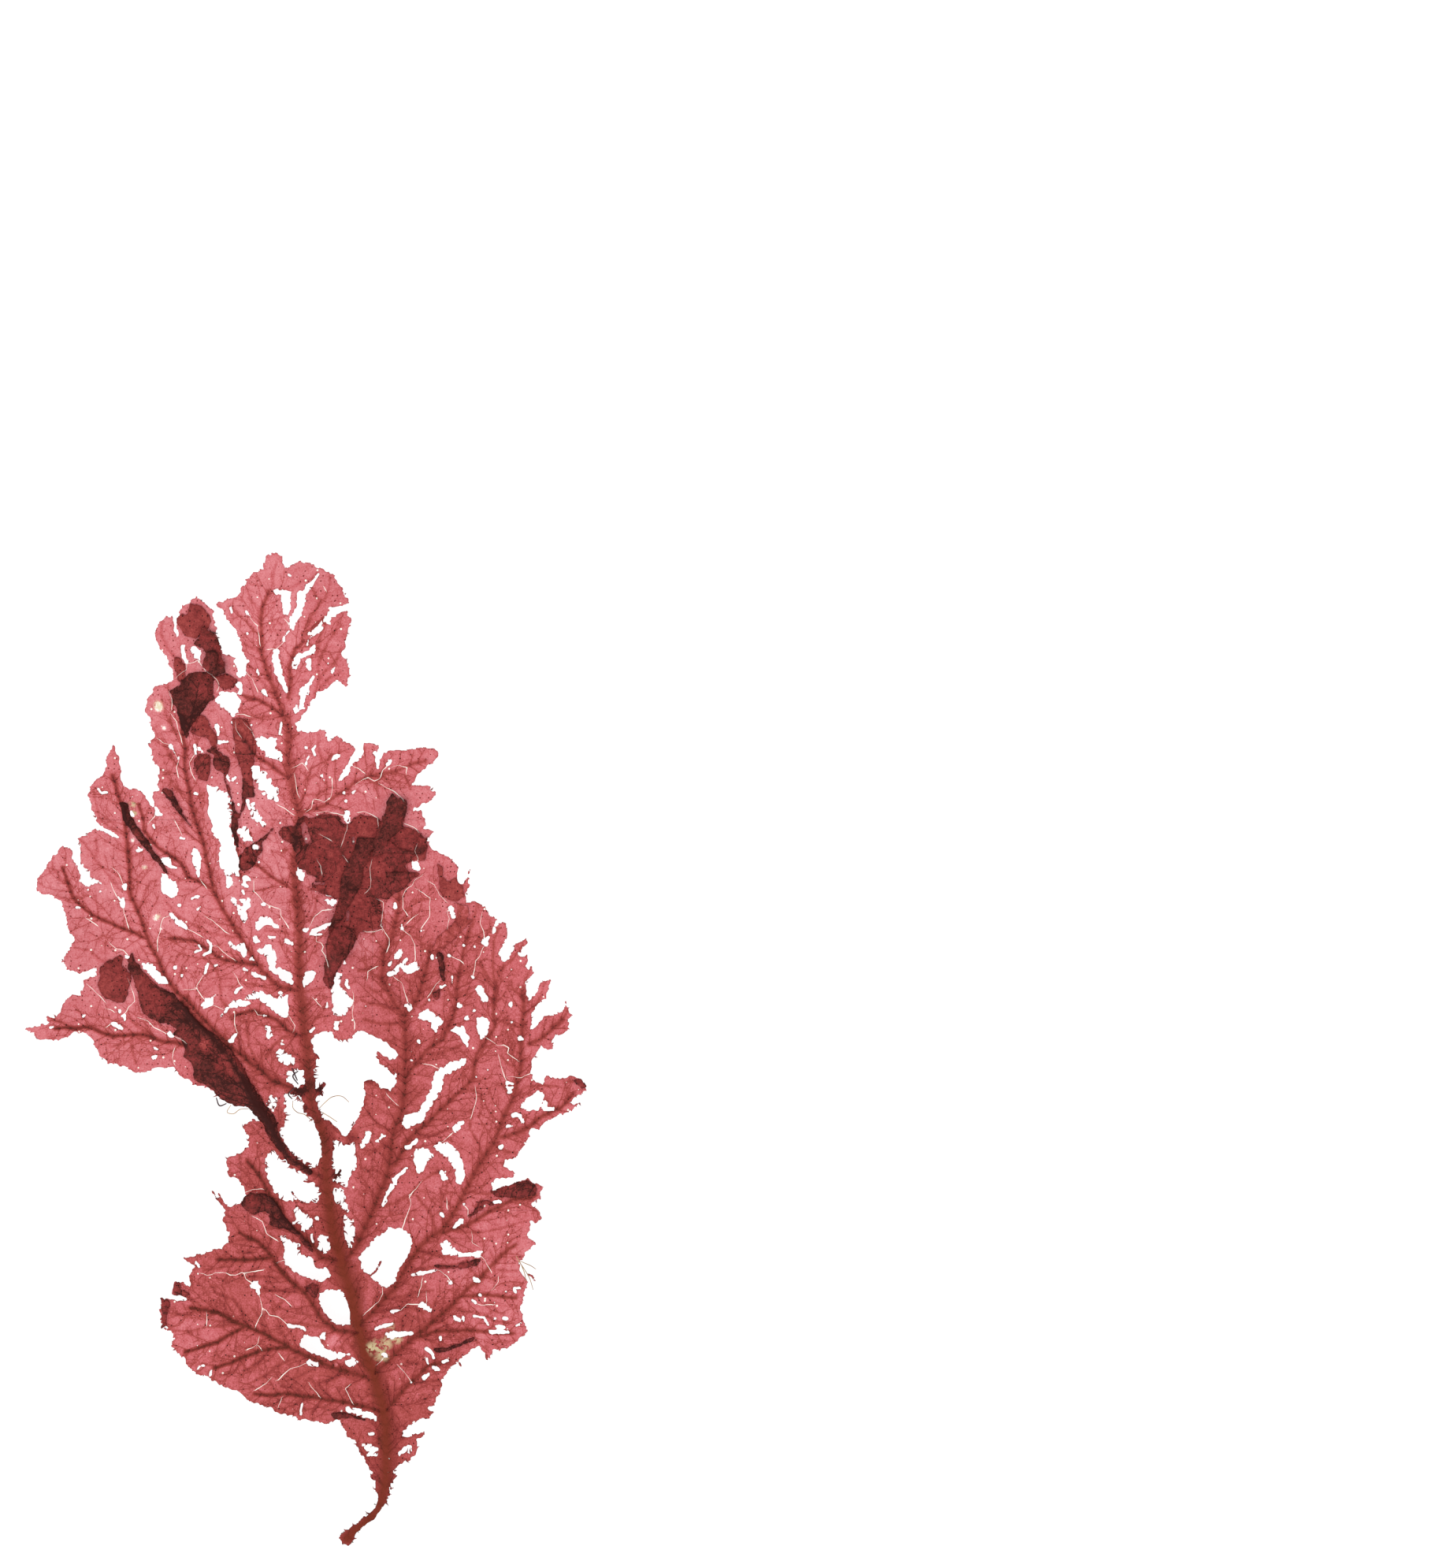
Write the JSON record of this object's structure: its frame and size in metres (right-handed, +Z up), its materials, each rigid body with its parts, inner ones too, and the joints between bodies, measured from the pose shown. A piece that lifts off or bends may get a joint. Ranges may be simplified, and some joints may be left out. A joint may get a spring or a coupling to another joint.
{
  "type": "red seaweed",
  "caption": "Flat leafy red seaweed lying down: bare forked midrib with toothed, perforated and partly folded blades, on a thin stipe with a small holdfast.",
  "frame": {"origin": "centre of the plant's box, on the surface that it lies on", "axes": "+Y from the holdfast to the crown, +X to the plant's right as seen from above, +Z up out of the blades"},
  "size_m": [0.0762, 0.1343, 0.0041],
  "materials": {
    "frond": "thin translucent red membrane, slightly moist sheen"
  },
  "bodies": {
    "root": {"thallus": "frond"}
  },
  "joints": []
}
